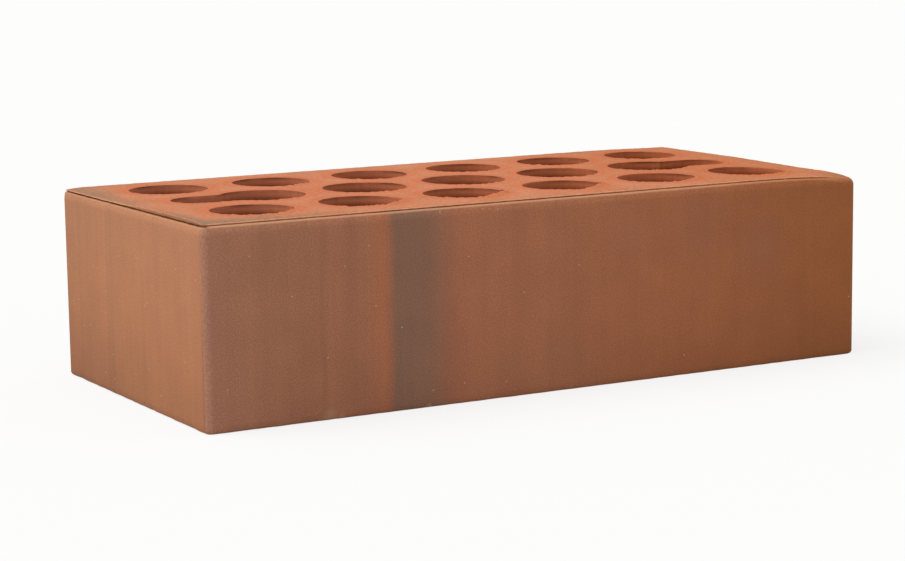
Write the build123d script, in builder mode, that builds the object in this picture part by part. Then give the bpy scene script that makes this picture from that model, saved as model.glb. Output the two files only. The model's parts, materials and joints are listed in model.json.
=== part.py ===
# Clay brick, extruded, wire-cut and fired in one piece, with seventeen holes through its bed.
# Millimetres. X runs along the stretcher face, Y across the bed, Z up. The origin is at the
# middle of the lower bed.
from build123d import *
import os

# Overall size of the fired brick
length = 250.0
width = 120.0
height = 65.0

# Pressed upper edge, from the face upwards: a steep band, a flat ledge, a crease and the lip of the bed
band_height = 2.5
band_inset = 0.35
ledge_rise = 0.5
crease_inset = 2.1
lip_height = 0.8
lip_overhang = 0.3
lip_corner_radius = 0.8

# Small chamfer along the lower edges
lower_chamfer = 1.0

# Three rows of holes, left by the cores of the extrusion die, with the walls that they leave
outer_hole_diameter = 27.0
outer_hole_count = 6
middle_hole_diameter = 29.0
middle_hole_count = 5
stretcher_wall = 12.5
header_wall = 15.25

# The end holes of the middle row are keyholes, with a slot that runs on towards the header
key_slot_width = 18.0
key_header_wall = 16.0

# The corners of the crease and of the vertical arrises follow the corners of the lip
lip_inset = crease_inset - lip_overhang
arris_radius = lip_corner_radius + lip_inset
crease_height = height - lip_height
ledge_height = crease_height - ledge_rise
band_foot = ledge_height - band_height

# The holes fill the bed between its walls, and the rows are staggered by half a pitch
hole_pitch = (length - 2 * header_wall - outer_hole_diameter) / (outer_hole_count - 1)
row_pitch = width / 2 - stretcher_wall - outer_hole_diameter / 2
key_hole_x = hole_pitch * (middle_hole_count - 1) / 2
key_end_x = length / 2 - key_header_wall - key_slot_width / 2

os.makedirs("parts", exist_ok=True)

with BuildPart() as brick:
    # Block up to the foot of the band
    with BuildSketch():
        RectangleRounded(length, width, arris_radius)
    extrude(amount=band_foot)
    chamfer(brick.edges().group_by(Axis.Z)[0], lower_chamfer)

    # Band and ledge, drawn in from the faces to the crease
    for level, inset in ((band_foot, 0), (ledge_height, band_inset), (crease_height, crease_inset)):
        with BuildSketch(Plane.XY.offset(level)):
            RectangleRounded(length - 2 * inset, width - 2 * inset, arris_radius - inset)
    loft(ruled=True)

    # Lip of the bed, which reaches out over the crease
    with BuildSketch(Plane.XY.offset(crease_height)):
        RectangleRounded(length - 2 * lip_inset, width - 2 * lip_inset, lip_corner_radius)
    extrude(amount=lip_height)

    # Holes through the bed
    with GridLocations(hole_pitch, 2 * row_pitch, outer_hole_count, 2):
        Hole(outer_hole_diameter / 2)
    with GridLocations(hole_pitch, 0, middle_hole_count, 1):
        Hole(middle_hole_diameter / 2)
    with BuildSketch():
        for side in (-1, 1):
            SlotCenterPoint(
                center=(side * (key_hole_x + key_end_x) / 2, 0),
                point=(side * key_end_x, 0),
                height=key_slot_width,
            )
    extrude(amount=height, mode=Mode.SUBTRACT)

brick.part.label = "brick"
export_step(brick.part, "parts/brick.step")
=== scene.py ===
import bpy
import json
import math
from functools import partial, reduce
import numpy as np
from mathutils import Matrix, Vector, noise


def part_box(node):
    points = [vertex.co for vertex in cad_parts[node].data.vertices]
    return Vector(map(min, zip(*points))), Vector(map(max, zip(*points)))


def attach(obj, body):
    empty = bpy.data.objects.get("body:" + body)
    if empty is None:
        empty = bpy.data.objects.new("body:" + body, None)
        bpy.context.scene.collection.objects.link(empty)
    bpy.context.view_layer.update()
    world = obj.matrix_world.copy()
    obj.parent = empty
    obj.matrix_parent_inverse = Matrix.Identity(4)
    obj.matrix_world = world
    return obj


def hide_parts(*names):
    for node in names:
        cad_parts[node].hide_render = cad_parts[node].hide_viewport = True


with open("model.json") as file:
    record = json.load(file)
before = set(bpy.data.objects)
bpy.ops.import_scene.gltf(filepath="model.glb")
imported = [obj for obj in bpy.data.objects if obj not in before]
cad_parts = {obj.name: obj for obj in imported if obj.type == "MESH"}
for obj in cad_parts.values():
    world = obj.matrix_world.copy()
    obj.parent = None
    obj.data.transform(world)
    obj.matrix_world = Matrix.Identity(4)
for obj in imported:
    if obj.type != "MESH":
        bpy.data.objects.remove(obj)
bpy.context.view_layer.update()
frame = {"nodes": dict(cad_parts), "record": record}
print("frame loaded:", ", ".join(frame["nodes"]))

millimetre = 0.001
low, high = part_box("brick")
length, width, height = (high - low) / millimetre
halfLength, halfWidth = length / 2, width / 2


def linearColour(hexColour):
    channels = [int(hexColour[i:i + 2], 16) / 255 for i in (1, 3, 5)]
    return tuple(c / 12.92 if c <= 0.04045 else ((c + 0.055) / 1.055) ** 2.4 for c in channels) + (1.0,)


# A node of a kind, with its settings, or just its mode or attribute, and its inputs in order or by name. An
# input is a value, a hex colour, a node or a socket, and a list makes several links to one socket.
def addNode(tree, kind, settings=None, inputs=None):
    families = ("ShaderNode", "GeometryNode", "FunctionNode", "")
    node = tree.nodes.new(next(family + kind for family in families if hasattr(bpy.types, family + kind)))
    if isinstance(settings, str):
        modes = ("operation", "interpolation_type", "data_type", "attribute_name")
        settings = {next(mode for mode in modes if hasattr(node, mode)): settings}
    for name, value in (settings or {}).items():
        if name == "stops":
            elements = node.color_ramp.elements
            while len(elements) < len(value):
                elements.new(0.5)
            for stop, (place, colour) in zip(elements, value):
                stop.position = place
                stop.color = linearColour(colour)
        else:
            setattr(node, name, value)
    for key, value in inputs.items() if isinstance(inputs, dict) else enumerate(inputs or ()):
        sockets = [s for s in node.inputs if s.enabled]
        socket = sockets[key] if isinstance(key, int) else next(s for s in sockets if s.name == key)
        for source in value if isinstance(value, list) else [value]:
            if isinstance(source, bpy.types.Node):
                source = next(s for s in source.outputs if s.enabled)
            if isinstance(source, bpy.types.NodeSocket):
                tree.links.new(source, socket)
            elif isinstance(source, str) and source.startswith("#"):
                socket.default_value = linearColour(source)
            else:
                socket.default_value = source
    return node


# Empties the nodes of a material or world, and gives back what adds new ones
def startNodes(owner):
    owner.use_nodes = True
    owner.node_tree.nodes.clear()
    return partial(addNode, owner.node_tree)


def product(add, *factors):
    return reduce(lambda whole, factor: add("Math", "MULTIPLY", (whole, factor)), factors)


def apart(add, one, other):
    return add("Math", "ABSOLUTE", (add("Math", "SUBTRACT", (one, other)),))


def addObject(name, data):
    thing = bpy.data.objects.new(name, data)
    bpy.context.scene.collection.objects.link(thing)
    return thing


# Block of clay before its holes: the faces as the die drew them, and the beds as the wire cut them. In mm.
# Values in threes are for the front, the left header and the two hidden sides. A span gives the two places
# between which something grows from nothing to full, and waves are the longest and the shortest wavelength.
block = {
    "faceStep": 1.3,  # mesh spacing along the faces and over the beds
    "rowStep": 2.4,  # mesh spacing up the faces
    "faceFoot": 2.6,  # lowest row of the faces above the chamfer
    "arrisRadius": 2.6,  # vertical edges
    "cornerSpan": (0.3, 1.8),  # from a corner on, the crease opens and the lip is torn
    "wrapEnd": 0.25,  # the left header's lip ends over this last part of the front arris
    "bandHeight": 2.5,  # steep band under the upper edge
    "bandInset": 0.35,
    "bandProfile": ((0.12, 0.3), (0.45, 0.7), (0.8, 0.94)),  # shares of its inset and height
    "ledgeRise": 0.5,  # flat ledge above the band
    "ledgeProfile": (0.04, 0.16, 0.45, 0.8),
    "ledgePower": 0.8,  # the ledge is steeper at its outer edge
    "creaseInset": (2.1, 0.75, 1.5),  # crease between the ledge and the lip
    "creaseDepth": 0.9,  # how far the open crease runs in under the lip
    "creaseProfile": ((0.55, -0.38), (1.0, 0.0), (0.5, 0.40)),  # shares of its depth and gap
    "creaseGap": (0.17, 0.64, 0.17),  # how far the crease gapes
    "gapUneven": (0.35, 0.07, 0.35),
    "gapLimits": (0.25, 1.7),
    "gapWaves": (45, 5),
    "leastDepth": 0.2,  # share of the depth that a closed crease keeps
    "fullGap": 0.50,  # gap from which on the crease has its full depth
    "rightClosing": 0.6,  # share by which the crease closes towards the right of the front
    "rightClosingSpan": (5, 65),
    "leftClosing": 0.4,  # and towards its left end
    "leftClosingSpan": (-55, -75),
    "lipHeight": 0.8,
    "lipOverhang": 0.3,
    "lipUndercut": 0.10,
    "lipMiddle": 0.45,  # share of its height at which the lip reaches out furthest
    "lipRounding": 0.22,
    "lipShoulder": 0.3,  # share of the rounding at its middle row
    "lipRag": (0.056, 0.08, 0.104),  # torn outline of the lip
    "ragWaves": (14, 2.6),
    "lipDip": (0.035, 0.05, 0.065),  # dips of its upper edge
    "dipWaves": (16, 3.2),
    "lipCurl": 0.45,  # rolled-up burr of the lip, along the front half of the left header
    "curlSpan": (5, -9),
    "lipSag": 0.48,  # fall of the bed towards the front and the left header
    "lipSagReach": 4.0,
    "leftSagSpan": (-22, 23),  # along the left header it falls towards the back only
    "rightSag": 0.55,  # fall towards the right header, twice as much in its front half
    "rightSagReach": 20.0,
    "rightSagSpan": (10, -30),
    "fallFoot": 35.0,  # the face follows the fall of the right end from this level up
    "softRadius": 2.6,  # upper edge at the right front corner, rubbed round where the crease ends
    "softReach": 14.0,
    "softFade": (1.6, 0.3),  # height and cut of the bell curve by which the rounding fades
    "softDrop": 0.6,  # further fall of the bed at that corner
    "softDropReach": 8.0,
    "lowerChamfer": 0.9,
    "chamferProfile": ((1.0, 0.0), (0.42, 0.30)),  # shares of it inwards and upwards
    "chamferUneven": 0.12,
    "chamferWaves": (24, 6),
    "chamferLimits": (0.35, 2.0),
    "knockSize": 1.2,  # small knocks along the lower edge
    "knockSpan": (1.3, 2.3),  # of the wave's height
    "knockWaves": (60, 6),
    "dieLineDepth": (0.0245, 0.0175),  # fine grooves that the die left up the faces: mean and swing
    "dieLineWaves": (40, 2.7),
    "wireLineDepth": 0.02,  # drag lines of the wire across the beds
    "wireLineSize": (2.7, 45),
    "bedSwell": 0.10,  # slow unevenness of the beds
    "swellSize": 38,
    "swellLayer": 7,  # keeps it apart from the drag lines
    "reliefSpan": (2.4, 7.4),  # both start this far in from the edges
    "seed": 11,
}
crease = height - block["lipHeight"]
ledge = crease - block["ledgeRise"]
bandFoot = ledge - block["bandHeight"]
lipCut = 0.8  # attribute wireCut on the side of the lip, which is 1 on the beds and 0 on the faces


# Share of the way from one place to another, from 0 to 1
def ramp(value, start, end):
    return np.clip((value - start) / (end - start), 0, 1)


def bell(distance, reach):
    return np.exp(-(distance / reach) ** 2)


# Smooth random wave along a closed line, about -1 to 1
def waver(along, perimeter, waves, seed):
    longest, shortest = waves
    waveCount = 24
    random = np.random.default_rng(seed)
    turns = np.unique(np.round(np.geomspace(perimeter / longest, perimeter / shortest, waveCount)))
    phases = random.uniform(0, 2 * math.pi, len(turns))
    swings = [np.cos(2 * math.pi * t * along / perimeter + p) for t, p in zip(turns, phases)]
    return sum(swings) / math.sqrt(len(turns))


# Places of the mesh columns along a face, closer together round its two arrises
def faceStations(half, radius, step):
    corner = half - radius * np.array([0, 0.34, 0.67])  # shares of the arris
    inner = np.linspace(radius - half, half - radius, round(2 * (half - radius) / step) + 1)
    return np.concatenate([-corner, inner, corner[::-1]])


# Core point and outward direction of a place on the outline or the bed, so that square corners become round
def outlinePlace(x, y, radius):
    coreX = np.clip(x, radius - halfLength, halfLength - radius)
    coreY = np.clip(y, radius - halfWidth, halfWidth - radius)
    outX, outY = (x - coreX) / radius, (y - coreY) / radius
    reach = np.maximum(np.abs(outX), np.abs(outY))
    alongX = np.abs(outX) >= np.abs(outY)
    turn = np.where(alongX, outY, outX) / np.where(reach > 0, reach, 1) * math.pi / 4
    dirX = np.where(alongX, np.sign(outX) * np.cos(turn), np.sin(turn))
    dirY = np.where(alongX, np.sin(turn), np.sign(outY) * np.cos(turn))
    return coreX, coreY, dirX, dirY, reach


# How far the cut bed falls towards the front and the left header
def edgeFall(b, x, y):
    frontFall = bell(y + halfWidth, b["lipSagReach"])
    leftFall = bell(x + halfLength, b["lipSagReach"]) * ramp(y, *b["leftSagSpan"])
    return b["lipSag"] * np.maximum(frontFall, leftFall)


# How far the right end of the brick is lower, most of all at its rubbed front corner
def rightFall(b, x, y):
    toFront, toRight = y + halfWidth, halfLength - x
    sag = b["rightSag"] * (1 + ramp(y, *b["rightSagSpan"])) * bell(toRight, b["rightSagReach"])
    return sag + b["softDrop"] * bell(np.hypot(toRight, toFront), b["softDropReach"])


# Rows of the outside from the lower bed to the upper one, each as its inset from the outline and its level,
# and the number of the row at which the lip starts
def edgeRows(b, coreX, coreY, dirX, dirY):
    radius, seed = b["arrisRadius"], b["seed"]
    outerX, outerY = coreX + dirX * radius, coreY + dirY * radius
    steps = np.hypot(outerX - np.roll(outerX, 1), outerY - np.roll(outerY, 1))
    wave = partial(waver, np.cumsum(steps), steps.sum())

    # the lip of the left header runs on round the front arris, and ends there
    wrapped = (dirX < 0) & (dirY < 0)
    left = np.where(wrapped, ramp(-dirX, 0, b["wrapEnd"]), np.clip(-dirX, 0, 1) ** 2)
    front = np.where(wrapped, 1 - left, np.clip(-dirY, 0, 1) ** 2)
    hidden = 1 - front - left
    toCorner = np.maximum(halfLength - np.abs(outerX), halfWidth - np.abs(outerY))
    straight = np.where(wrapped, 1, ramp(toCorner, *b["cornerSpan"]))

    def bySide(values):
        return front * values[0] + left * values[1] + hidden * values[2]

    # the crease gapes most along the left header and closes towards both ends of the front
    closing = 1 - b["rightClosing"] * ramp(outerX, *b["rightClosingSpan"])
    closing = closing - b["leftClosing"] * ramp(outerX, *b["leftClosingSpan"])
    frontGap, headerGap, hiddenGap = b["creaseGap"]
    gap = bySide((frontGap * closing, headerGap, hiddenGap))
    gap = gap * np.clip(1 + bySide(b["gapUneven"]) * wave(b["gapWaves"], seed), *b["gapLimits"])
    depth = b["creaseDepth"] * straight * np.clip(gap / b["fullGap"], b["leastDepth"], 1)
    creaseInset = bySide(b["creaseInset"])
    rag = straight * bySide(b["lipRag"]) * wave(b["ragWaves"], seed + 1)
    dip = straight * bySide(b["lipDip"]) * np.minimum(wave(b["dipWaves"], seed + 2), 0)
    curl = b["lipCurl"] * left * straight * ramp(outerY, *b["curlSpan"])
    lineMean, lineSwing = b["dieLineDepth"]
    dieLines = lineMean + lineSwing * wave(b["dieLineWaves"], seed + 3)
    knock = b["knockSize"] * ramp(wave(b["knockWaves"], seed + 4), *b["knockSpan"])
    foot = b["lowerChamfer"] * (1 + b["chamferUneven"] * wave(b["chamferWaves"], seed + 5)) + knock
    foot = np.clip(foot, *b["chamferLimits"])

    # chamfer, face, band, ledge and crease
    rows = [(p * foot, q * foot) for p, q in b["chamferProfile"]] + [(dieLines, foot)]
    rows += [(dieLines, z) for z in np.linspace(b["faceFoot"], bandFoot, round(bandFoot / b["rowStep"]))]
    upperStart = len(rows)
    rows += [(dieLines + p * b["bandInset"], bandFoot + q * b["bandHeight"]) for p, q in b["bandProfile"]]
    ledgeEnd = crease - gap / 2
    for part in b["ledgeProfile"]:
        inset = b["bandInset"] + part * (creaseInset - b["bandInset"])
        rows.append((inset, ledge + (ledgeEnd - ledge) * part ** b["ledgePower"]))
    rows += [(creaseInset + p * depth, crease + q * gap) for p, q in b["creaseProfile"]]

    # lip
    lipStart = len(rows)
    edge = creaseInset - b["lipOverhang"] + rag
    topInset = edge + b["lipRounding"]
    fall = edgeFall(b, coreX + dirX * (radius - topInset), coreY + dirY * (radius - topInset))
    lipFoot, lipTop = crease + gap / 2, height - fall + dip + curl
    shoulder = b["lipShoulder"] * b["lipRounding"]
    rows += [(edge + b["lipUndercut"], lipFoot), (edge, lipFoot + b["lipMiddle"] * (lipTop - lipFoot)),
             (edge + shoulder, lipTop - shoulder), (topInset, lipTop)]

    # towards the right front corner the upper rows turn into one rounded edge
    peak, cut = b["softFade"]
    toSoft = np.hypot(outerX - halfLength, outerY + halfWidth)
    soft = np.clip(peak * bell(toSoft, b["softReach"]) - cut, 0, 1)
    upperCount = len(rows) - upperStart
    for k in range(upperCount):
        angle = math.pi / 2 * (k + 1) / upperCount
        roundInset = b["softRadius"] * (1 - math.cos(angle))
        roundLevel = lipTop - b["softRadius"] * (1 - math.sin(angle))
        inset, level = rows[upperStart + k]
        rows[upperStart + k] = (inset + soft * (roundInset - inset), level + soft * (roundLevel - level))
    return rows, lipStart


def makeBlock(b):
    radius = b["arrisRadius"]
    xs, ys = [faceStations(half, radius, b["faceStep"]) for half in (halfLength, halfWidth)]
    nx, ny = len(xs), len(ys)

    # ring of columns round the block, from the left end of the front face
    ring = [(i, 0) for i in range(nx)] + [(nx - 1, j) for j in range(1, ny)]
    ring += [(i, ny - 1) for i in range(nx - 2, -1, -1)] + [(0, j) for j in range(ny - 2, 0, -1)]
    ringI, ringJ = np.array(ring).T
    coreX, coreY, dirX, dirY, _ = outlinePlace(xs[ringI], ys[ringJ], radius)
    rows, lipStart = edgeRows(b, coreX, coreY, dirX, dirY)
    points = []
    for inset, level in rows:
        rowX, rowY = coreX + dirX * (radius - inset), coreY + dirY * (radius - inset)
        follow = ramp(level, b["fallFoot"], bandFoot)
        points.append(np.stack([rowX, rowY, level - follow * rightFall(b, rowX, rowY)], 1))
    ringCount, rowCount = len(ring), len(rows)
    near = np.arange(ringCount)
    far = np.roll(near, -1)
    quads = []
    for start in ringCount * np.arange(rowCount - 1):
        above = start + ringCount
        quads.append(np.stack([start + near, start + far, above + far, above + near], 1))

    # beds: their rims are the first and last rows
    gridX, gridY = np.meshgrid(xs, ys, indexing="ij")
    bedCoreX, bedCoreY, bedDirX, bedDirY, bedReach = outlinePlace(gridX, gridY, radius)
    beside = (np.abs(gridX) > halfLength - radius) & (np.abs(gridY) <= halfWidth - radius)
    inside = np.zeros((nx, ny), bool)
    inside[1:-1, 1:-1] = True
    lineX, lineY = b["wireLineSize"]
    swell = b["swellSize"]
    start = ringCount * rowCount
    for row, base, order in ((0, 0.0, (0, 3, 2, 1)), (rowCount - 1, height, (0, 1, 2, 3))):
        rim = np.zeros((nx, ny))
        rim[ringI, ringJ] = rows[row][0]
        fromFaces = np.where(np.arange(ny) < ny // 2, rim[:, :1], rim[:, -1:])
        fromHeaders = np.where(gridX < 0, rim[0], rim[-1])
        shift = bedReach * (radius - np.where(beside, fromHeaders, fromFaces))
        bedX, bedY = (bedCoreX + bedDirX * shift)[inside], (bedCoreY + bedDirY * shift)[inside]
        relief = [b["wireLineDepth"] * noise.noise((x / lineX, y / lineY, base))
                  + b["bedSwell"] * noise.noise((x / swell, y / swell, base + b["swellLayer"]))
                  for x, y in zip(bedX, bedY)]
        toEdge = np.minimum(halfLength - np.abs(bedX), halfWidth - np.abs(bedY))
        level = np.abs(relief) * ramp(toEdge, *b["reliefSpan"])
        if base > 0:
            level = base - level - edgeFall(b, bedX, bedY) - rightFall(b, bedX, bedY)
        points.append(np.stack([bedX, bedY, level], 1))
        index = np.empty((nx, ny), int)
        index[ringI, ringJ] = row * ringCount + near
        index[inside] = start + np.arange(inside.sum())
        start += inside.sum()
        corners = (index[:-1, :-1], index[1:, :-1], index[1:, 1:], index[:-1, 1:])
        quads.append(np.stack([corners[k] for k in order], -1).reshape(-1, 4))
    mesh = bpy.data.meshes.new("brick")
    mesh.from_pydata((np.concatenate(points) * millimetre).tolist(), [], np.concatenate(quads).tolist())

    # the wire cut the beds and the side of the lip
    cut = np.zeros(len(mesh.polygons), np.float32)
    cut[lipStart * ringCount:] = lipCut
    cut[(rowCount - 2) * ringCount:] = 1
    mesh.attributes.new("wireCut", "FLOAT", "FACE").data.foreach_set("value", cut)
    return mesh


blockMesh = makeBlock(block)
print("block:", len(blockMesh.polygons), "faces")


# A clay of the brick: its material, what adds its nodes, and the place on the brick in mm, also axis by axis
def startClay(name):
    material = bpy.data.materials.new(name)
    add = startNodes(material)
    objectPlace = add("TexCoord").outputs["Object"]
    place = add("VectorMath", "SCALE", (objectPlace, 1 / millimetre))
    return material, add, place, add("SeparateXYZ", {}, (place,)).outputs


# Noise by its size in mm, which is three numbers where it was drawn out along an axis
def pattern(add, place, size, detail, roughness=0.5):
    if isinstance(size, tuple):
        place = add("VectorMath", "MULTIPLY", (place, tuple(1 / mm for mm in size)))
        size = 1.0
    return add("TexNoise", {}, (place, 1 / size, detail, roughness))


# Share of a spot: full in its middle, and fading out between two shares of its reach
def spotShare(add, away, reach, fade, full):
    return add("MapRange", "SMOOTHSTEP", (away, fade[0] * reach, fade[1] * reach, 0.0, full))


# Change of brightness by a tone that follows a value from place to place
def toned(add, colour, mode, tone):
    return add("VectorMath", "SCALE", (colour, add("MapRange", mode, tone)))


# Small changes of brightness, each by a pattern and an amount
def tonedBy(add, colour, patterns):
    for texture, amount in patterns:
        colour = toned(add, colour, "LINEAR", (texture, 0.0, 1.0, 1 - amount, 1 + amount))
    return colour


def finishClay(add, s, colour, relief):
    bump = add("Bump", {}, {
        "Strength": s["bump"], "Distance": s["bumpDepth"] * millimetre, "Height": relief})
    shader = add("BsdfPrincipled", {}, {
        "Base Color": colour, "Roughness": s["roughness"], "IOR": s["ior"],
        "Specular IOR Level": s["specular"], "Normal": bump})
    add("OutputMaterial", {}, {"Surface": shader})


# Die skin: smooth upright faces, drawn through the die and flashed by the kiln fire. Matt with a faint sheen,
# stained in upright bands of red, purple-brown and smoke grey. Lengths in mm, negative inwards from the
# outline. A fade is in shares of a spot's reach, from its outer edge to where it is full.
dieSkin = {
    # colours by their place along each face
    "front": [(-125, "#BB8064"), (-95, "#B67A5B"), (-70, "#B67758"), (-63.6, "#C07854"), (-61, "#B57455"),
              (-59, "#976E58"), (-47, "#9F7158"), (-37, "#B97555"), (-30, "#BC7855"), (0, "#B97653"),
              (45, "#B97149"), (125, "#AB6535")],
    "back": [(-125, "#B06D4B"), (-70, "#B47353"), (-32, "#B37150"), (-18, "#9A705B"), (4, "#966C56"),
             (10, "#BC7654"), (30, "#B87658"), (125, "#BA7F66")],
    "left": [(-60, "#C3825A"), (10, "#C28259"), (15.5, "#BB7F58"), (18.5, "#C18159"), (60, "#BD7E57")],
    "right": [(-60, "#AB6942"), (-25, "#B7744F"), (-10, "#AA7053"), (6, "#B87550"), (35, "#B2704E"),
              (60, "#B4755A")],
    # drag streaks that stand out on the two seen faces: place, half width and change of brightness
    "frontStreaks": [(-116.5, 2.5, -0.02), (-110, 4, 0.04), (-104.5, 2.5, -0.035), (-91, 2.5, -0.025),
                     (-84.9, 1.4, -0.07), (-82, 1.6, 0.05), (-79.5, 3, 0.035), (-74.5, 3, -0.05),
                     (-15, 6, -0.03), (-4.5, 4, 0.03), (9, 5, -0.025), (101, 3, -0.025)],
    "leftStreaks": [(-19, 4, 0.03), (-10.5, 3, -0.03), (12.5, 1.8, 0.025), (16.5, 1.4, -0.04),
                    (19.3, 1.9, -0.045), (22.5, 3, 0.03), (37.5, 3, -0.025), (45, 2.5, -0.035)],
    "drift": 3.0,  # sideways waver of the bands and streaks
    "driftSize": 22.0,
    "turnSpan": (-2.2, -1.2),  # where a header's colours give way to the stretcher's, round the arris
    "arris": "#C48F78",  # painted sheen on the pale round of the left arrises, partly a burnished edge
    "arrisSheenAndWearShare": 0.36,
    "arrisSpan": (-3.0, -1.2),
    "lineTone": 0.82,  # fine line beside it, which ends further up
    "lineAt": -1.8,
    "lineSpan": (0.1, 0.6),
    "lineLevels": (12.0, 48.0),
    "cloud": "#9C6A57",
    "clouds": [(29, 48, 10, 0.2), (58, 52, 14, 0.3), (82, 43, 12, 0.32)],  # x, z, reach and strength
    "cloudFade": (1.9, 0.6),
    "frontFootShade": (0.98, 0.84),  # painted shade at the foot along the front, from left to right
    "headerFootShade": (0.80, 0.60),  # and painted shade at the foot along the headers, from front to back
    "footLevels": (-14.0, 44.0),
    "headerWarm": (1.0, 0.95, 0.87),  # the headers are warmer at their foot and paler at their top
    "headerPale": (1.01, 1.03, 1.07),
    "paleDepth": 5.0,  # below the bed
    # paler band under the upper edge: partly painted light where it turns up, partly dust
    "bandLightAndDust": 1.13,
    "bandDepths": (4.2, 2.4),
    "ledge": "#CF9A72",  # dust on the ledge, partly painted light where it faces up
    "ledgeDustAndLightShares": (0.55, 0.12),  # on the left and at the right end
    "ledgeSpan": (25.0, 112.5),
    "ledgeDepths": (1.75, 1.2),
    "creaseTone": 0.6,
    "creaseStarts": (-0.75, -2.1),  # on the headers and the stretchers
    "creaseFade": 0.35,
    "creaseDepths": (3, 2),
    "chip": "#CB9673",
    "chipShare": 0.7,
    "chips": [(-83.0, 3.2), (-79.0, 1.6), (-47.5, 1.2)],  # place along the foot of the front, and half width
    "chipLevel": 0.4,
    "chipRag": 2.4,  # how far the grain breaks up their outline, as a share of the half width
    "chipFade": (2.4, 1.4),
    "lime": "#D2BCA6",  # few white specks
    "speckSpacing": 7.0,
    "speckRadius": 0.21,
    "speckFade": (1.4, 0.6),
    "speckShares": (0.24, 0.06),  # a cell holds one if its random value is this near to 1, left and right
    "speckSpan": (-25.0, 25.0),
    "mottle": 14.0,  # slow cloudiness of the flashing
    "streak": (3.2, 3.2, 90.0),  # fine drag streaks up the face
    "grain": 0.5,  # drawn coarser than the real sand so that it shows
    "tones": (0.12, 0.07, 0.58),  # change of brightness by the mottle, the streaks and the grain
    "streakRelief": 0.6,  # as against the grain's
    "bump": 0.5,
    "bumpDepth": 0.06,
    "roughness": 0.72,
    "ior": 1.5,
    "specular": 0.35,
}


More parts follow.
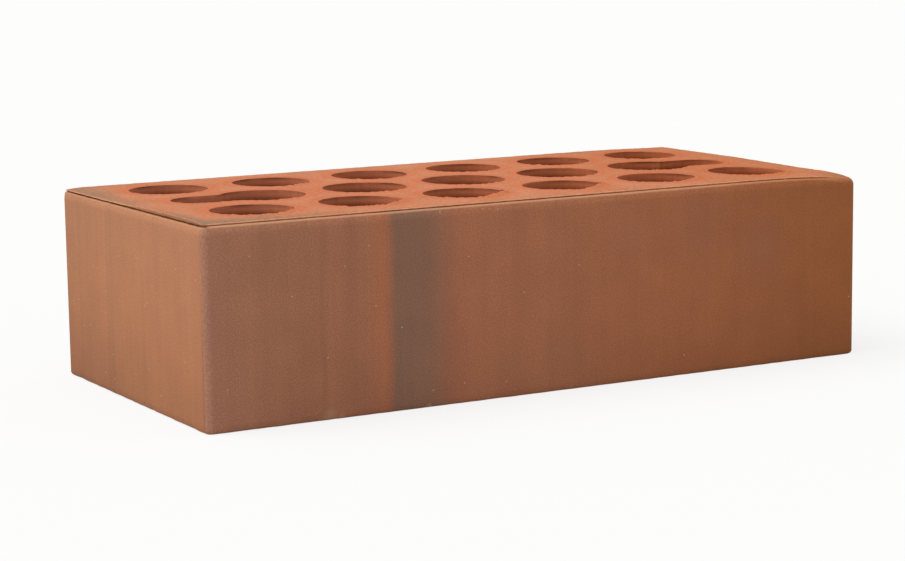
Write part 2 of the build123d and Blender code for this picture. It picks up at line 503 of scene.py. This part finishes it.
def makeDieSkin(s):
    material, add, place, (x, y, z) = startClay("flashed die-drawn clay")

    # slow waver, so that the bands don't run dead straight up the face
    drift = pattern(add, place, s["driftSize"], 2.0)
    shiftedX, shiftedY = [add("Math", "MULTIPLY_ADD", (drift, s["drift"], axis)) for axis in (x, y)]
    meanDrift = s["drift"] / 2

    # one row of stains for each of the four faces, with its streaks
    colours = {}
    for face, along, half in (("front", shiftedX, halfLength), ("back", shiftedX, halfLength),
                              ("left", shiftedY, halfWidth), ("right", shiftedY, halfWidth)):
        share = add("MapRange", {}, (along, meanDrift - half, meanDrift + half))
        stops = [((mm + half) / (2 * half), colour) for mm, colour in s[face]]
        colours[face] = add("ValToRGB", {"stops": stops}, (share,))
        for mm, reach, change in s.get(face + "Streaks", []):
            away = apart(add, along, mm + meanDrift)
            colours[face] = toned(add, colours[face], "SMOOTHSTEP", (away, reach, 0.0, 1.0, 1 + change))
    isBack, isRight = [add("Math", "GREATER_THAN", (axis, 0.0)) for axis in (y, x)]
    stretcher = add("Mix", "RGBA", (isBack, colours["front"], colours["back"]))
    header = add("Mix", "RGBA", (isRight, colours["left"], colours["right"]))
    outX, outY = [add("Math", "SUBTRACT", (apart(add, axis, 0.0), half))
                  for axis, half in ((x, halfLength), (y, halfWidth))]
    lead = add("Math", "SUBTRACT", (outY, outX))  # how much nearer the stretcher than the header
    onStretcher = add("MapRange", "SMOOTHSTEP", (lead, *s["turnSpan"]))
    colour = add("Mix", "RGBA", (onStretcher, header, stretcher))

    # painted sheen, partly a burnished edge, on the round of the left arrises
    # pale, slightly purple round of the two left arrises, and a fine line where it meets the header
    isLeft = add("Math", "LESS_THAN", (x, 0.0))
    arris = add("MapRange", "SMOOTHSTEP", (outX, *s["arrisSpan"], 0.0, s["arrisSheenAndWearShare"]))
    colour = add("Mix", "RGBA", (product(add, arris, onStretcher, isLeft), colour, s["arris"]))
    fromLine = apart(add, lead, s["lineAt"])
    lineTone = add("MapRange", "SMOOTHSTEP", (z, *s["lineLevels"], s["lineTone"], 1.0))
    colour = toned(add, colour, "SMOOTHSTEP", (fromLine, *s["lineSpan"], lineTone, 1.0))

    # faint purple clouds on the right half of the front
    for mmX, mmZ, reach, strength in s["clouds"]:
        away = add("VectorMath", "DISTANCE", (place, (mmX, -halfWidth, mmZ)))
        away = add("Math", "MULTIPLY_ADD", (drift, reach, away))
        cloud = spotShare(add, away, reach, s["cloudFade"], strength)
        colour = add("Mix", "RGBA", (cloud, colour, s["cloud"]))

    mottle = pattern(add, place, s["mottle"], 4.0)
    streak = pattern(add, place, s["streak"], 3.0)
    grain = pattern(add, place, s["grain"], 3.0, 0.7)
    colour = tonedBy(add, colour, zip((mottle, streak, grain), s["tones"]))

    # painted shade on the foot, most of all on the headers and at the right end of the front; the band is
    # paler
    alongFront = add("MapRange", {}, (x, -halfLength, halfLength, *s["frontFootShade"]))
    alongHeader = add("MapRange", {}, (y, -halfWidth, halfWidth, *s["headerFootShade"]))
    footShade = add("Mix", "FLOAT", (onStretcher, alongHeader, alongFront))
    colour = toned(add, colour, "SMOOTHSTEP", (z, *s["footLevels"], footShade, 1.0))
    climb = add("MapRange", {}, (z, 0.0, height - s["paleDepth"]))
    tint = add("Mix", "VECTOR", (climb, s["headerWarm"], s["headerPale"]))
    tint = add("Mix", "VECTOR", (onStretcher, tint, (1.0, 1.0, 1.0)))
    colour = add("VectorMath", "MULTIPLY", (colour, tint))
    below = add("Math", "SUBTRACT", (height, z))
    # painted light and dust: the band is paler, partly where it turns up to the light
    colour = toned(add, colour, "SMOOTHSTEP", (below, *s["bandDepths"], 1.0, s["bandLightAndDust"]))

    # dust and painted light on the ledge under the lip, where it faces up, less towards the right
    ledgeDustAndLight = add("MapRange", "SMOOTHSTEP", (x, *s["ledgeSpan"], *s["ledgeDustAndLightShares"]))
    onPaleLedge = add("MapRange", "SMOOTHSTEP", (below, *s["ledgeDepths"], 0.0, ledgeDustAndLight))
    colour = add("Mix", "RGBA", (onPaleLedge, colour, s["ledge"]))

    # little light and no flame reached the inside of the crease
    inward = add("Math", "MAXIMUM", (outX, outY))
    creaseStart = add("Mix", "FLOAT", (onStretcher, *s["creaseStarts"]))
    into = add("Math", "SUBTRACT", (creaseStart, inward))
    deepTone = add("MapRange", {}, (below, *s["creaseDepths"], 1.0, s["creaseTone"]))
    colour = toned(add, colour, "LINEAR", (into, 0.0, s["creaseFade"], 1.0, deepTone))

    # knocks along the lower front edge, which show the paler body
    chipped = 0.0
    for mm, reach in s["chips"]:
        away = add("VectorMath", "DISTANCE", (place, (mm, -halfWidth, s["chipLevel"])))
        away = add("Math", "MULTIPLY_ADD", (grain, s["chipRag"] * reach, away))
        close = spotShare(add, away, reach, s["chipFade"], s["chipShare"])
        chipped = add("Math", "MAXIMUM", (chipped, close))
    colour = add("Mix", "RGBA", (chipped, colour, s["chip"]))

    # few white lime specks, on a flat map of the face
    unrolled = add("Math", "SUBTRACT", (x, y))
    flatMap = add("CombineXYZ", {}, (unrolled, z))
    cells = add("TexVoronoi", {"voronoi_dimensions": "2D"}, (flatMap, 1 / s["speckSpacing"])).outputs
    speck = spotShare(add, cells["Distance"], s["speckRadius"] / s["speckSpacing"], s["speckFade"], 1.0)
    bare = add("MapRange", {}, (x, *s["speckSpan"], *[1 - share for share in s["speckShares"]]))
    kept = add("Math", "GREATER_THAN", (cells["Color"], bare))
    colour = add("Mix", "RGBA", (product(add, speck, kept), colour, s["lime"]))

    relief = add("Math", "MULTIPLY_ADD", (streak, s["streakRelief"], grain))
    finishClay(add, s, colour, relief)
    return material


# Wire-cut bed: torn open by the wire, so it is sandy, dead matt and the bare orange of the fired body,
# with smoke in the corners that lay at the edge of the kiln stack. Lengths in mm, fades as above.
wireCut = {
    "body": [(0.3, "#C47A52"), (0.5, "#CB815A"), (0.72, "#D08863")],  # deep to pale
    "mottle": 16.0,
    "fringe": "#CF7248",  # round the holes
    "fringeShare": 0.85,
    "fringeSpan": (8.0, 0.5),
    "rightTint": (0.92, 0.85, 0.72),  # browner at the right end of the brick
    "rightSpan": (25.0, 90.0),
    # grey at the left end: smoke in the corners, and bands along the back of the left lip
    "leftGrey": "#93775E",
    "stains": [((-125, -62), (0.24, 1.0), 12.0, 0.9), ((-122, 47), (1.05, 0.42), 9.0, 0.56),
               ((-123.5, -46), (0.9, 0.17), 4.6, 0.75),
               ((-123.5, 18), (0.8, 0.14), 5.0, 0.5)],  # place, stretch, reach and strength
    "stainFade": (1.7, 0.6),
    "wisps": 9.0,  # torn outline of the smoke, and how far it is torn, as a share of the reach
    "wispRag": 0.6,
    "leftLip": (0.9, 2.0, 0.15),  # the grey starts behind the lips: depths, and share on the lip
    "frontLip": (2.0, 3.4, 0.35),
    "wearAndShade": "#AE7048",  # right front corner: worn, with painted shade where it slopes away from the light
    "wearAndShadeShare": 0.8,
    "wearAndShadeReach": 12.0,
    "wearAndShadeFade": (1.3, 0.5),
    "paintedHighlight": "#E0A37C",  # painted highlight on the lip and the near rims
    "highlightShare": 0.65,  # share of it on the lips
    "frontHighlight": (2.9, 1.9),  # depths
    "leftHighlight": (1.5, 0.7),
    "sideHighlight": 0.25,  # share of that on the side of the left lip
    "rimHighlight": 0.35,  # share of it on the rims
    "lipSideShade": 0.8,  # painted shade on the side of the lip
    "grain": 1.3,  # drawn coarser than the real sand so that it shows
    "dragSize": (1.8, 40.0, 1.0),  # drag lines of the wire
    "tones": (0.06, 0.56),  # change of brightness by the drag lines and the grain
    "dragRelief": 0.8,  # as against the grain's
    "bump": 0.6,
    "bumpDepth": 0.12,
    "roughness": 0.92,
    "ior": 1.5,
    "specular": 0.2,  # open, sandy pores
}


def makeWireCut(s):
    material, add, place, (x, y, _) = startClay("wire-cut fired clay")
    cut, fromHole, nearRim = [add("Attribute", name).outputs["Fac"]
                              for name in ("wireCut", "fromHole", "nearRim")]
    fromLeft = add("Math", "ADD", (x, halfLength))
    fromFront = add("Math", "ADD", (y, halfWidth))
    colour = add("ValToRGB", {"stops": s["body"]}, (pattern(add, place, s["mottle"], 5.0),))

    # fired redder round the holes, where hot gas passed through them, and browner at the right end
    fringe = add("MapRange", "SMOOTHSTEP", (fromHole, *s["fringeSpan"], 0.0, s["fringeShare"]))
    colour = add("Mix", "RGBA", (fringe, colour, s["fringe"]))
    toRight = add("MapRange", "SMOOTHSTEP", (x, *s["rightSpan"]))
    tint = add("Mix", "VECTOR", (toRight, (1.0, 1.0, 1.0), s["rightTint"]))
    colour = add("VectorMath", "MULTIPLY", (colour, tint))

    # smoke at the left end of the bed, most of all in its corners, and grey bands behind the lip
    wisps = pattern(add, place, s["wisps"], 3.0)
    behindLeft = add("MapRange", "SMOOTHSTEP", (fromLeft, *s["leftLip"], 1.0))
    behindFront = add("MapRange", "SMOOTHSTEP", (fromFront, *s["frontLip"], 1.0))
    behind = add("Math", "MINIMUM", (behindLeft, behindFront))
    for corner, stretch, reach, strength in s["stains"]:
        away = add("VectorMath", "SUBTRACT", (place, corner + (0.0,)))
        away = add("VectorMath", "MULTIPLY", (away, stretch + (0.0,)))
        away = add("VectorMath", "LENGTH", (away,))
        away = add("Math", "MULTIPLY_ADD", (wisps, s["wispRag"] * reach, away))
        leftGrey = spotShare(add, away, reach, s["stainFade"], strength)
        colour = add("Mix", "RGBA", (product(add, leftGrey, behind), colour, s["leftGrey"]))

    # the right front corner is worn down to the colour of the face, with painted shade where it slopes away
    # from the light
    away = add("VectorMath", "DISTANCE", (place, (halfLength, -halfWidth, height)))
    wearAndShade = spotShare(add, away, s["wearAndShadeReach"], s["wearAndShadeFade"], s["wearAndShadeShare"])
    colour = add("Mix", "RGBA", (wearAndShade, colour, s["wearAndShade"]))

    # painted highlight on the upper edge of the lip and the near rims, and painted shade on the side of the
    # lip
    onTop = add("MapRange", {}, (cut, lipCut, 1.0, s["sideHighlight"], 1.0))
    frontLip = add("MapRange", "SMOOTHSTEP", (fromFront, *s["frontHighlight"], 0.0, s["highlightShare"]))
    leftLip = add("MapRange", "SMOOTHSTEP", (fromLeft, *s["leftHighlight"], 0.0, s["highlightShare"]))
    paintedHighlight = add("Math", "MAXIMUM", (frontLip, product(add, leftLip, onTop)))
    paintedHighlight = add("Math", "MAXIMUM", (paintedHighlight, product(add, nearRim, s["rimHighlight"])))
    colour = add("Mix", "RGBA", (paintedHighlight, colour, s["paintedHighlight"]))
    colour = toned(add, colour, "LINEAR", (cut, lipCut, 1.0, s["lipSideShade"], 1.0))

    grain = pattern(add, place, s["grain"], 4.0, 0.7)
    drag = pattern(add, place, s["dragSize"], 3.0)
    colour = tonedBy(add, colour, zip((drag, grain), s["tones"]))
    relief = add("Math", "MULTIPLY_ADD", (drag, s["dragRelief"], grain))
    finishClay(add, s, colour, relief)
    return material


# Bore wall: pulled smooth over the steel cores, so it is finer and redder than the bed, with drag lines along
# it. Lengths in mm.
scoredBore = {
    # colours by depth, painted light and shade: brightest at the beds, where light reaches the walls, and
    # darker further in
    "stops": [(0.0, "#DF8862"), (1.4, "#D87E54"), (2.3, "#C26A41"), (3.2, "#8E492D"), (4.6, "#6A3320"),
              (16.0, "#774029")],
    "leftTint": (1.0, 1.06, 1.22),  # greyer at the left end of the brick, as its faces are
    "rightTint": (0.92, 0.80, 0.66),
    "tintSpan": (-100.0, 100.0),
    "crownReach": 1.3,  # depth to which the tone of the wall differs from place to place
    "crownPatch": 13.0,
    "crownTones": (0.6, 1.5),
    "crownSpan": (0.35, 0.65),  # of the noise
    "dragSize": (1.6, 1.6, 60.0),
    "grain": 0.7,
    "grainRelief": 0.3,  # as against the drag lines'
    "toneSpan": (0.4, 0.9),  # of the two together
    "tones": (0.92, 1.08),
    "bump": 0.6,
    "bumpDepth": 0.15,
    "roughness": 0.85,
    "ior": 1.5,
    "specular": 0.3,
}


def makeScoredBore(s):
    material, add, place, (x, _, z) = startClay("core-drawn fired clay")
    drag = pattern(add, place, s["dragSize"], 3.0)
    grain = pattern(add, place, s["grain"], 2.0)
    relief = add("Math", "MULTIPLY_ADD", (grain, s["grainRelief"], drag))
    reach = s["stops"][-1][0]
    # painted light near the beds and painted shade deeper in the bore
    depth = add("MapRange", {}, (apart(add, z, height / 2), height / 2, height / 2 - reach))
    stops = [(mm / reach, colour) for mm, colour in s["stops"]]
    colour = add("ValToRGB", {"stops": stops}, (depth,))
    colour = toned(add, colour, "LINEAR", (relief, *s["toneSpan"], *s["tones"]))
    along = add("MapRange", {}, (x, *s["tintSpan"]))
    tint = add("Mix", "VECTOR", (along, s["leftTint"], s["rightTint"]))
    colour = add("VectorMath", "MULTIPLY", (colour, tint))
    patch = pattern(add, place, s["crownPatch"], 1.0)
    crown = add("MapRange", {}, (patch, *s["crownSpan"], *s["crownTones"]))
    colour = toned(add, colour, "SMOOTHSTEP", (depth, 0.0, s["crownReach"] / reach, crown, 1.0))
    finishClay(add, s, colour, relief)
    return material


faceClay, bedClay, boreClay = makeDieSkin(dieSkin), makeWireCut(wireCut), makeScoredBore(scoredBore)
print("materials:", faceClay.name, "/", bedClay.name, "/", boreClay.name)

# Perforations: where the cores of the die stood. The outer rows come from the bores that the record states.
mounts = {mount["name"]: mount for mount in frame["record"]["mounts"]}
firstHole, secondHole = mounts["front_row_hole_1"], mounts["front_row_hole_2"]
perforation = {
    "Hole Pitch": secondHole["pos_m"][0] - firstHole["pos_m"][0],
    "Row Spacing": -2 * firstHole["pos_m"][1],
    "Outer Holes": sum(name.startswith("front_row_hole") for name in mounts),
    "Middle Holes": 5,
    "Outer Radius": firstHole["dims"]["r_mm"] * millimetre,
    "Middle Radius": 14.5 * millimetre,
    "Slot Radius": 9.0 * millimetre,
    "Slot End": 100.0 * millimetre,  # centre of the slot's round end, from the middle of the bed
    "Height": height * millimetre,
    "Overrun": 0.6 * millimetre,  # cutters stand this far out of both beds
    "Drag Depth": 0.10 * millimetre,  # drag lines down the bore walls
    "Rim Depth": 0.12 * millimetre,  # thickness of the skin that the wire drew over each rim
    "Undercut": 0.22 * millimetre,  # how far that skin stands out over the wall
    "Burr Height": 0.85 * millimetre,  # torn rims on the side where the wire left each hole
    "Push Height": 1.0 * millimetre,  # clay that the wire pushed up at the front row, most in its middle
    "Push Reach": 3.0 * millimetre,  # and how far it spread over the bed
    "Rim Reach": 4.0 * millimetre,  # how deep the walls follow their rims
    "Seed": 4.0,
    "Die Skin": faceClay,
    "Wire Cut": bedClay,
    "Scored Bore": boreClay,
}
# Their mesh and patterns
rims = {
    "wallRows": 16,
    "sides": {"Outer Radius": 132, "Middle Radius": 140, "Slot Radius": 96},
    "slotColumns": 30,
    "rowPower": 2.5,  # draws the rows of the walls together towards the beds
    "dragWidth": 2.4 * millimetre,
    "dragStretch": 0.03,
    "undercutSpan": (0.38 * millimetre, 0.42 * millimetre),  # hollow under a rim: fully open, closing
    "rimBlend": 0.02,  # beyond this share a point belongs to both the wall and the bed
    "tearSize": 2.3 * millimetre,
    "tearSpan": (-0.1, 0.5, 0.12),  # how far a wall faces backwards, and the burr's share elsewhere
    "tearHeights": (0.3, 0.7, -0.6, 0.48),  # noise, and shares of the burr's height: more sunk than raised
    "pushSharpness": 1.6,
    "pushSpan": (25 * millimetre, 65 * millimetre, 1.0, 0.45),  # the push is less towards the ends of the row
    "pushEnd": 116 * millimetre,
    "sharpAngle": 38,  # degrees
}


def perforationTree(r):
    tree = bpy.data.node_groups.new("perforateBed", "GeometryNodeTree")
    tree.interface.new_socket(name="Block", in_out="INPUT", socket_type="NodeSocketGeometry")
    kinds = {int: "NodeSocketInt", float: "NodeSocketFloat", bpy.types.Material: "NodeSocketMaterial"}
    for name, value in perforation.items():
        tree.interface.new_socket(name=name, in_out="INPUT", socket_type=kinds[type(value)])
    tree.interface.new_socket(name="Brick", in_out="OUTPUT", socket_type="NodeSocketGeometry")
    add = partial(addNode, tree)
    given = add("NodeGroupInput").outputs

    # cutters as tall as the brick and a little more
    wallRows = r["wallRows"]
    depth = add("Math", "MULTIPLY_ADD", (given["Overrun"], 2.0, given["Height"]))
    halfDepth = add("Math", "MULTIPLY", (depth, 0.5))
    cores = {name: add("MeshCylinder", {"fill_type": "NGON"}, {
        "Vertices": sides, "Side Segments": wallRows, "Radius": given[name], "Depth": depth})
        for name, sides in r["sides"].items()}
    outerSpan, middleSpan = [
        product(add, add("Math", "SUBTRACT", (given[holes], 1.0)), given["Hole Pitch"])
        for holes in ("Outer Holes", "Middle Holes")]
    keyHole = add("Math", "MULTIPLY", (middleSpan, 0.5))
    slotStraight = add("Math", "SUBTRACT", (given["Slot End"], keyHole))
    slotSum = add("Math", "ADD", (given["Slot End"], keyHole))
    slotMiddle = add("Math", "MULTIPLY", (slotSum, 0.5))
    slotWidth = add("Math", "MULTIPLY", (given["Slot Radius"], 2.0))
    slotSize = add("CombineXYZ", {}, (slotStraight, slotWidth, depth))
    slotBox = add("MeshCube", {}, (slotSize, r["slotColumns"], 2, wallRows + 1))

    # rows of places for them
    outerPlaces = add("MeshGrid", {}, (outerSpan, given["Row Spacing"], given["Outer Holes"], 2))
    stands = [(outerPlaces, cores["Outer Radius"])]
    for core, count, end in ((cores["Middle Radius"], given["Middle Holes"], keyHole),
                             (slotBox, 2, slotMiddle), (cores["Slot Radius"], 2, given["Slot End"])):
        back = add("Math", "MULTIPLY", (end, -1.0))
        ends = [add("CombineXYZ", {}, (along,)) for along in (back, end)]
        stands.append((add("MeshLine", {"mode": "END_POINTS"}, (count, *ends)), core))
    stood = []
    for places, core in stands:
        copies = add("InstanceOnPoints", {}, {"Points": places, "Instance": core})
        stood.append(add("RealizeInstances", {}, (copies,)))
    middleRow = add("MeshBoolean", {"operation": "UNION", "solver": "MANIFOLD"}, {"Mesh": stood[1:]})
    cutters = add("JoinGeometry", {}, ([stood[0], middleRow],))

    # end rows stand out of the beds, and the rest are drawn close together just inside them
    place = add("InputPosition")
    at = add("SeparateXYZ", {}, (place,)).outputs
    share = add("Math", "DIVIDE", (at["Z"], halfDepth))
    size = add("Math", "ABSOLUTE", (share,))
    inner = add("Math", {"operation": "MULTIPLY", "use_clamp": True}, (size, wallRows / (wallRows - 2)))
    inner = add("Math", "SUBTRACT", (1.0, inner))
    inner = add("Math", "POWER", (inner, r["rowPower"]))
    eased = add("Math", "SUBTRACT", (1.0, inner))
    middle = add("Math", "MULTIPLY", (given["Height"], 0.5))
    level = add("Math", "SUBTRACT", (middle, given["Rim Depth"]))
    level = product(add, level, eased, add("Math", "SIGN", (share,)))
    isEnd = add("Math", "GREATER_THAN", (size, 1 - 1 / wallRows))
    level = add("Mix", "FLOAT", (isEnd, level, at["Z"]))
    raised = add("Math", "ADD", (level, middle))
    raisedPlace = add("CombineXYZ", {}, (at["X"], at["Y"], raised))
    cutters = add("SetPosition", {}, {"Geometry": cutters, "Position": raisedPlace})

    # drag lines down the walls, and the hollow under each rim
    upright = add("VectorMath", "MULTIPLY", (place, (1.0, 1.0, r["dragStretch"])))
    lines = add("TexNoise", {"noise_dimensions": "4D"}, {
        "Vector": upright, "W": given["Seed"], "Scale": 1 / r["dragWidth"], "Detail": 2.0})
    swing = add("Math", "SUBTRACT", (lines, 0.5))
    swing = add("Math", "MULTIPLY", (swing, given["Drag Depth"]))
    below = add("Math", "SUBTRACT", (middle, apart(add, at["Z"], middle)))
    openEnd, closeStart = r["undercutSpan"]
    opening = add("MapRange", {}, (below, 0.0, openEnd))
    closing = add("MapRange", {}, (below, given["Rim Reach"], closeStart))
    swing = add("Math", "MULTIPLY_ADD", (product(add, opening, closing), given["Undercut"], swing))
    normal = add("InputNormal")
    sideways = add("VectorMath", "MULTIPLY", (normal, (1.0, 1.0, 0.0)))
    shove = add("VectorMath", "SCALE", (sideways, swing))
    cutters = add("SetPosition", {}, {"Geometry": cutters, "Offset": shove})
    marked = [add("StoreNamedAttribute", {"domain": "FACE"}, {"Geometry": g, "Name": "bore", "Value": v})
              for g, v in ((given["Block"], 0.0), (cutters, 1.0))]
    pierced = add("MeshBoolean", {"operation": "DIFFERENCE", "solver": "MANIFOLD"},
                  {"Mesh 1": marked[0], "Mesh 2": marked[1:]})

    # distance from the nearest hole in mm, for the finish
    fromHole = add("Proximity", {}, (cutters,)).outputs["Distance"]
    fromHole = add("Math", "DIVIDE", (fromHole, millimetre))

    # torn rims, on the side where the wire left the hole: the walls follow them for a little way down
    bore = add("InputNamedAttribute", {}, ("bore",))
    onWall = add("Math", "GREATER_THAN", (bore, r["rimBlend"]))
    onBed = add("Math", "LESS_THAN", (bore, 1 - r["rimBlend"]))
    facing = add("SeparateXYZ", {}, (normal,)).outputs
    tear = add("MapRange", {}, (facing["Y"], *r["tearSpan"], 1.0))
    flatPlace = add("CombineXYZ", {}, (at["X"], at["Y"]))
    rough = add("TexNoise", {"noise_dimensions": "4D"}, {
        "Vector": flatPlace, "W": given["Seed"], "Scale": 1 / r["tearSize"],
        "Detail": 4.0, "Roughness": 0.75})
    burr = add("MapRange", {"clamp": False}, (rough, *r["tearHeights"]))
    burr = product(add, burr, tear, onWall, given["Burr Height"])

    # clay pushed up round the front row, on the right of that side: by the place about the nearest hole
    fromEnd = add("Math", "MULTIPLY_ADD", (outerSpan, 0.5, at["X"]))
    halfPitch = add("Math", "MULTIPLY", (given["Hole Pitch"], 0.5))
    inPitch = add("Math", "ADD", (fromEnd, halfPitch))
    inPitch = add("Math", "FLOORED_MODULO", (inPitch, given["Hole Pitch"]))
    acrossHole = add("Math", "SUBTRACT", (inPitch, halfPitch))
    behindHole = add("Math", "MULTIPLY_ADD", (given["Row Spacing"], 0.5, at["Y"]))
    spoke = add("CombineXYZ", {}, (acrossHole, behindHole))
    aim = add("VectorMath", "NORMALIZE", (spoke,))
    aim = add("SeparateXYZ", {}, (aim,)).outputs
    toRight, toFront = [
        add("Math", {"operation": "MULTIPLY", "use_clamp": True}, (aim[axis], sign * r["pushSharpness"]))
        for axis, sign in (("X", 1), ("Y", -1))]
    fromAxis = add("VectorMath", "LENGTH", (spoke,))
    beyond = add("Math", "SUBTRACT", (fromAxis, given["Outer Radius"]))
    spread = add("MapRange", "SMOOTHSTEP", (beyond, given["Push Reach"], 0.0))
    fromCentre = add("Math", "ABSOLUTE", (at["X"],))
    inRow = add("MapRange", {}, (fromCentre, *r["pushSpan"]))
    besideHole = add("Math", "LESS_THAN", (fromCentre, r["pushEnd"]))
    push = product(add, given["Push Height"], toRight, toFront, spread, inRow, besideHole)
    fromTop = add("Math", "SUBTRACT", (given["Height"], at["Z"]))
    follow = add("MapRange", {}, (fromTop, given["Rim Reach"], 0.0))
    lift = product(add, add("Math", "ADD", (burr, push)), follow)

    # near rims of the upper bed, for the finish
    nearRim = product(add, add("Math", "GREATER_THAN", (at["Z"], middle)), tear, onWall, onBed)
    for name, value in (("fromHole", fromHole), ("nearRim", nearRim)):
        pierced = add("StoreNamedAttribute", {}, {"Geometry": pierced, "Name": name, "Value": value})
    offset = add("CombineXYZ", {}, {"Z": lift})
    pierced = add("SetPosition", {}, {"Geometry": pierced, "Offset": offset})

    # smooth faces between sharp edges
    angle = add("InputMeshEdgeAngle").outputs["Unsigned Angle"]
    soft = add("Compare", "LESS_THAN", (angle, math.radians(r["sharpAngle"])))
    for domain, smooth in (("FACE", True), ("EDGE", soft)):
        pierced = add("SetShadeSmooth", {"domain": domain}, {"Geometry": pierced, "Shade Smooth": smooth})

    # the three finishes of the clay
    cut = add("InputNamedAttribute", {}, ("wireCut",))
    onBeds, inBore = [add("Compare", "GREATER_THAN", (mark, 0.5)) for mark in (cut, bore)]
    whole = add("RealizeInstances", {}, (pierced,))
    for clay, chosen in (("Die Skin", True), ("Wire Cut", onBeds), ("Scored Bore", inBore)):
        whole = add("SetMaterial", {}, (whole, chosen, given[clay]))
    add("NodeGroupOutput", {}, {"Brick": whole})
    return tree


brick = addObject("clayBrick", blockMesh)
modifier = brick.modifiers.new("perforateBed", "NODES")
modifier.node_group = perforationTree(rims)
for socket in modifier.node_group.interface.items_tree:
    if socket.in_out == "INPUT" and socket.name in perforation:
        modifier[socket.identifier] = perforation[socket.name]
depsgraph = bpy.context.evaluated_depsgraph_get()
finished = bpy.data.meshes.new_from_object(brick.evaluated_get(depsgraph))
brick.modifiers.remove(modifier)
brick.data = finished
finished.name = "clayBrick"
finished.materials.pop(index=0)  # empty slot of the bare block
print("perforated brick:", sum(len(p.vertices) - 2 for p in finished.polygons), "triangles,",
      len(finished.materials), "materials")
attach(brick, "root")
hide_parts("brick")

# Studio: pale floor, even sky and one large soft lamp from the upper left
studio = {
    "floor": "#F4F3F1",  # as the camera sees it
    "floorBounce": "#B9B6B2",  # as it lights the brick
    "floorSize": 24.0,  # m
    "shadowShare": 0.2,  # how much of the floor's own shading the camera sees
    "sky": "#FFFFFF",
    "skyStrength": 0.58,  # as it lights the brick
    "keyFrom": (-0.50, 0.16, 0.86),  # direction of the soft key light
    "keySpread": 45.0,  # degrees
    "keyStrength": 1.6,  # W/m2
}


# 1 for what the camera sees, straight, mirrored or through glass, and 0 for what lights the brick
def seenShare(add):
    paths = add("LightPath").outputs
    seen = add("Math", "MAXIMUM", (paths["Is Camera Ray"], paths["Is Glossy Ray"]))
    return add("Math", "MAXIMUM", (seen, paths["Is Transmission Ray"]))


scene = bpy.context.scene
scene.view_settings.view_transform = "Standard"

# Paper that is matt, with a white glow for the camera
half = studio["floorSize"] / 2
floorMesh = bpy.data.meshes.new("studioFloor")
corners = [(-half, -half, 0), (half, -half, 0), (half, half, 0), (-half, half, 0)]
floorMesh.from_pydata(corners, [], [(0, 1, 2, 3)])
floor = addObject("studioFloor", floorMesh)
floorPaper = bpy.data.materials.new("studio paper")
add = startNodes(floorPaper)
seen = seenShare(add)
glow = add("Math", "MULTIPLY", (seen, 1 - studio["shadowShare"]))
tint = add("Mix", "RGBA", (seen, studio["floorBounce"], studio["floor"]))
paper = add("BsdfDiffuse", {}, {"Color": tint})
white = add("Emission", {}, {"Strength": 1.0})
add("OutputMaterial", {}, {"Surface": add("MixShader", {}, (glow, paper, white))})
floorMesh.materials.append(floorPaper)

scene.world = bpy.data.worlds.new("studioSky")
add = startNodes(scene.world)
sky, backdrop = [add("Background", {}, (studio["sky"], strength))
                 for strength in (studio["skyStrength"], 1.0)]
skyMix = add("MixShader", {}, (seenShare(add), sky, backdrop))
add("OutputWorld", {}, {"Surface": skyMix})

keyData = bpy.data.lights.new("keyLamp", "SUN")
keyData.angle = math.radians(studio["keySpread"])
keyData.energy = studio["keyStrength"]
key = addObject("keyLamp", keyData)
key.rotation_euler = (-Vector(studio["keyFrom"])).to_track_quat("-Z", "Y").to_euler()

# Camera, from the lines of the brick in a 905 x 561 picture
view = {
    "focalPixels": 2397.3,
    "pictureWidth": 905,
    "sensorWidth": 36.0,  # mm
    "place": (-408.9, -722.0, 157.2),  # mm
    "heading": 29.232,  # degrees from +Y towards +X
    "dip": 8.747,  # degrees below the horizon
    "roll": 0.802,  # degrees
    "clipStart": 0.01,  # m
}
cameraData = bpy.data.cameras.new("camera")
cameraData.sensor_width = view["sensorWidth"]
cameraData.lens = view["sensorWidth"] * view["focalPixels"] / view["pictureWidth"]
cameraData.clip_start = view["clipStart"]
camera = addObject("camera", cameraData)
turn = Matrix.Rotation(-math.radians(view["heading"]), 4, "Z")
turn = turn @ Matrix.Rotation(math.radians(90 - view["dip"]), 4, "X")
turn = turn @ Matrix.Rotation(-math.radians(view["roll"]), 4, "Z")
camera.matrix_world = Matrix.Translation(Vector(view["place"]) * millimetre) @ turn
scene.camera = camera
print("studio and camera set")
